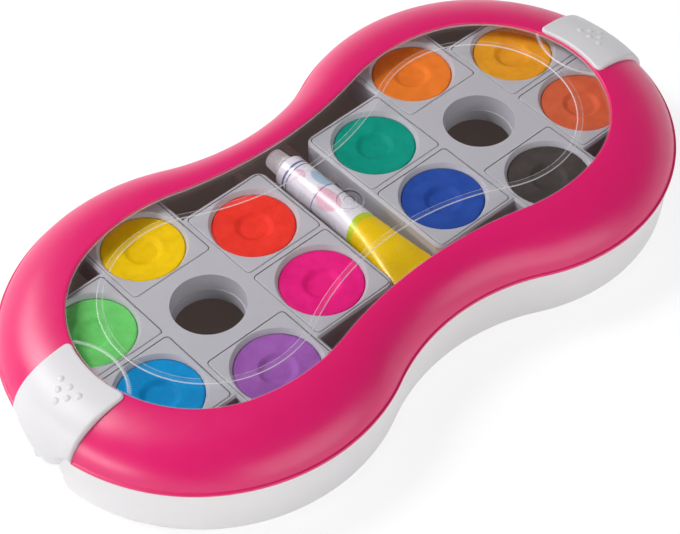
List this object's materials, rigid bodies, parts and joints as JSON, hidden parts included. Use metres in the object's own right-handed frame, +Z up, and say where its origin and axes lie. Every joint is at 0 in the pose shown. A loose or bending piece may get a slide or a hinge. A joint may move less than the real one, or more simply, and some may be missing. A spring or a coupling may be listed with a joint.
{
  "type": "gouache paint set box",
  "caption": "Figure-of-eight paint box with a clear domed lid held by an end latch each side, lift-out trays of square pans and a tube of white.",
  "frame": {"origin": "centre of the box on the surface it stands on", "axes": "+X along the box towards one latch, +Y to the back, +Z up"},
  "size_m": [0.2788, 0.1436, 0.0392],
  "materials": {
    "white_plastic": "glossy moulded",
    "pink_plastic": "satin moulded",
    "clear_plastic": "polished clear",
    "dark_plastic": "fine matt",
    "grey_plastic": "satin moulded",
    "pin_steel": "ground",
    "tube_metal": "lacquered",
    "cap_plastic": "frosted",
    "paint_green": "pressed dry paint",
    "paint_light_blue": "pressed dry paint",
    "paint_yellow": "pressed dry paint",
    "paint_violet": "pressed dry paint",
    "paint_red": "pressed dry paint",
    "paint_magenta": "pressed dry paint",
    "paint_turquoise": "pressed dry paint",
    "paint_ultramarine": "pressed dry paint",
    "paint_orange": "pressed dry paint",
    "paint_black": "pressed dry paint",
    "paint_ochre": "pressed dry paint",
    "paint_sienna": "pressed dry paint"
  },
  "bodies": {
    "base": {"base_shell": "white_plastic", "storage_liner": "dark_plastic", "hinge_pin_left": "pin_steel", "hinge_pin_right": "pin_steel"},
    "lid": {"lid_frame": "pink_plastic", "lid_window": "clear_plastic"},
    "left_latch": {"latch_left": "white_plastic"},
    "right_latch": {"latch_right": "white_plastic"},
    "left_tray": {"tray_left": "grey_plastic"},
    "right_tray": {"tray_right": "grey_plastic"},
    "green_pan": {"pan_green": "grey_plastic", "paint_green": "paint_green"},
    "light_blue_pan": {"pan_light_blue": "grey_plastic", "paint_light_blue": "paint_light_blue"},
    "yellow_pan": {"pan_yellow": "grey_plastic", "paint_yellow": "paint_yellow"},
    "violet_pan": {"pan_violet": "grey_plastic", "paint_violet": "paint_violet"},
    "red_pan": {"pan_red": "grey_plastic", "paint_red": "paint_red"},
    "magenta_pan": {"pan_magenta": "grey_plastic", "paint_magenta": "paint_magenta"},
    "turquoise_pan": {"pan_turquoise": "grey_plastic", "paint_turquoise": "paint_turquoise"},
    "ultramarine_pan": {"pan_ultramarine": "grey_plastic", "paint_ultramarine": "paint_ultramarine"},
    "orange_pan": {"pan_orange": "grey_plastic", "paint_orange": "paint_orange"},
    "black_pan": {"pan_black": "grey_plastic", "paint_black": "paint_black"},
    "ochre_pan": {"pan_ochre": "grey_plastic", "paint_ochre": "paint_ochre"},
    "sienna_pan": {"pan_sienna": "grey_plastic", "paint_sienna": "paint_sienna"},
    "paint_tube": {"tube_body": "tube_metal"},
    "cap": {"tube_cap": "cap_plastic"}
  },
  "joints": [
    {"name": "lid_lift", "type": "slide", "parent": "base", "child": "lid", "axis": [0, 0, 1], "range_m": [0, 0.12]},
    {"name": "left_latch_swing", "type": "hinge", "parent": "base", "child": "left_latch", "pos_m": [-0.13323, 0, 0.016], "axis": [0, -1, 0], "range_deg": [0, 95]},
    {"name": "right_latch_swing", "type": "hinge", "parent": "base", "child": "right_latch", "pos_m": [0.13323, 0, 0.016], "axis": [0, 1, 0], "range_deg": [0, 95]},
    {"name": "left_tray_lift", "type": "slide", "parent": "base", "child": "left_tray", "axis": [0, 0, 1], "range_m": [0, 0.036]},
    {"name": "right_tray_lift", "type": "slide", "parent": "base", "child": "right_tray", "axis": [0, 0, 1], "range_m": [0, 0.036]},
    {"name": "green_pan_lift", "type": "slide", "parent": "left_tray", "child": "green_pan", "axis": [0, 0, 1], "range_m": [0, 0.0168]},
    {"name": "light_blue_pan_lift", "type": "slide", "parent": "left_tray", "child": "light_blue_pan", "axis": [0, 0, 1], "range_m": [0, 0.0168]},
    {"name": "yellow_pan_lift", "type": "slide", "parent": "left_tray", "child": "yellow_pan", "axis": [0, 0, 1], "range_m": [0, 0.0168]},
    {"name": "violet_pan_lift", "type": "slide", "parent": "left_tray", "child": "violet_pan", "axis": [0, 0, 1], "range_m": [0, 0.0168]},
    {"name": "red_pan_lift", "type": "slide", "parent": "left_tray", "child": "red_pan", "axis": [0, 0, 1], "range_m": [0, 0.0168]},
    {"name": "magenta_pan_lift", "type": "slide", "parent": "left_tray", "child": "magenta_pan", "axis": [0, 0, 1], "range_m": [0, 0.0168]},
    {"name": "turquoise_pan_lift", "type": "slide", "parent": "right_tray", "child": "turquoise_pan", "axis": [0, 0, 1], "range_m": [0, 0.0168]},
    {"name": "ultramarine_pan_lift", "type": "slide", "parent": "right_tray", "child": "ultramarine_pan", "axis": [0, 0, 1], "range_m": [0, 0.0168]},
    {"name": "orange_pan_lift", "type": "slide", "parent": "right_tray", "child": "orange_pan", "axis": [0, 0, 1], "range_m": [0, 0.0168]},
    {"name": "black_pan_lift", "type": "slide", "parent": "right_tray", "child": "black_pan", "axis": [0, 0, 1], "range_m": [0, 0.0168]},
    {"name": "ochre_pan_lift", "type": "slide", "parent": "right_tray", "child": "ochre_pan", "axis": [0, 0, 1], "range_m": [0, 0.0168]},
    {"name": "sienna_pan_lift", "type": "slide", "parent": "right_tray", "child": "sienna_pan", "axis": [0, 0, 1], "range_m": [0, 0.0168]},
    {"name": "tube_lift", "type": "slide", "parent": "base", "child": "paint_tube", "axis": [0, 0, 1], "range_m": [0, 0.036]},
    {"name": "cap_turn", "type": "hinge", "parent": "paint_tube", "child": "cap", "pos_m": [0, 0.0344, 0.0276], "axis": [0, 1, 0], "range_deg": [0, 360]}
  ],
  "couplings": [
    {"joint": "left_latch_swing", "follows": "lid_lift", "rad_per_m": 13.8},
    {"joint": "right_latch_swing", "follows": "lid_lift", "rad_per_m": 13.8},
    {"joint": "left_tray_lift", "follows": "lid_lift", "ratio": 0.3},
    {"joint": "right_tray_lift", "follows": "lid_lift", "ratio": 0.3},
    {"joint": "green_pan_lift", "follows": "lid_lift", "ratio": 0.14},
    {"joint": "light_blue_pan_lift", "follows": "lid_lift", "ratio": 0.14},
    {"joint": "yellow_pan_lift", "follows": "lid_lift", "ratio": 0.14},
    {"joint": "violet_pan_lift", "follows": "lid_lift", "ratio": 0.14},
    {"joint": "red_pan_lift", "follows": "lid_lift", "ratio": 0.14},
    {"joint": "magenta_pan_lift", "follows": "lid_lift", "ratio": 0.14},
    {"joint": "turquoise_pan_lift", "follows": "lid_lift", "ratio": 0.14},
    {"joint": "ultramarine_pan_lift", "follows": "lid_lift", "ratio": 0.14},
    {"joint": "orange_pan_lift", "follows": "lid_lift", "ratio": 0.14},
    {"joint": "black_pan_lift", "follows": "lid_lift", "ratio": 0.14},
    {"joint": "ochre_pan_lift", "follows": "lid_lift", "ratio": 0.14},
    {"joint": "sienna_pan_lift", "follows": "lid_lift", "ratio": 0.14},
    {"joint": "tube_lift", "follows": "lid_lift", "ratio": 0.3}
  ]
}
